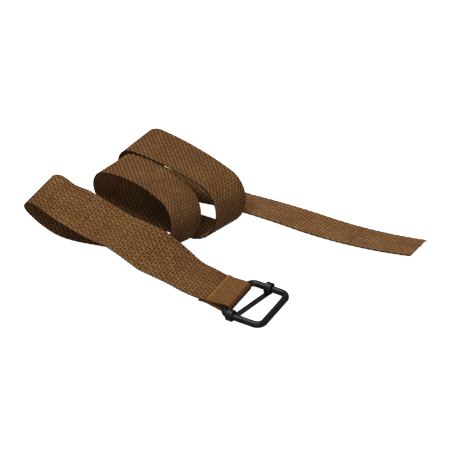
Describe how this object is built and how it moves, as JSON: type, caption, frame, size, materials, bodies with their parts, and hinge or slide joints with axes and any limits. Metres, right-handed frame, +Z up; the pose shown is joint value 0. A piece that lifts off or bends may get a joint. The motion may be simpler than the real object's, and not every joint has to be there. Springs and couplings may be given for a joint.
{
  "type": "gait belt",
  "caption": "Brown woven webbing gait belt lying in a loose coil, with a black wire frame buckle and sliding bar sewn into one end.",
  "frame": {"origin": "centre of the footprint of the coiled belt, on the surface it lies on", "axes": "+Z up, +X along the buckle's rails away from the webbing, +Y across the strap, so that the coil's turns lie side by side along Y"},
  "size_m": [0.3748, 0.214, 0.0676],
  "materials": {
    "webbing": "coarse woven cotton, matt",
    "thread": "waxed stitching thread",
    "black_paint": "satin"
  },
  "bodies": {
    "strap": {"strap_back_turn": "webbing", "strap_front_turn": "webbing", "strap_under_run": "webbing", "strap_end_run": "webbing", "strap_fold": "webbing", "seam_thread": "thread"},
    "tail": {"strap_tail": "webbing"},
    "frame": {"buckle_frame": "black_paint"},
    "bar": {"slide_bar": "black_paint"}
  },
  "joints": [
    {"name": "buckle_swing", "type": "hinge", "parent": "strap", "child": "frame", "pos_m": [0.06129, -0.07197, 0.00643], "axis": [0, -1, 0], "range_deg": [0, 100]},
    {"name": "bar_slide", "type": "slide", "parent": "frame", "child": "bar", "axis": [0.9996, 0, -0.029], "range_m": [0, 0.009]},
    {"name": "tail_lift", "type": "hinge", "parent": "strap", "child": "tail", "pos_m": [0.02814, 0.07154, 0.01117], "axis": [0.0085, -0.9729, 0.2309], "range_deg": [0, 45]}
  ]
}
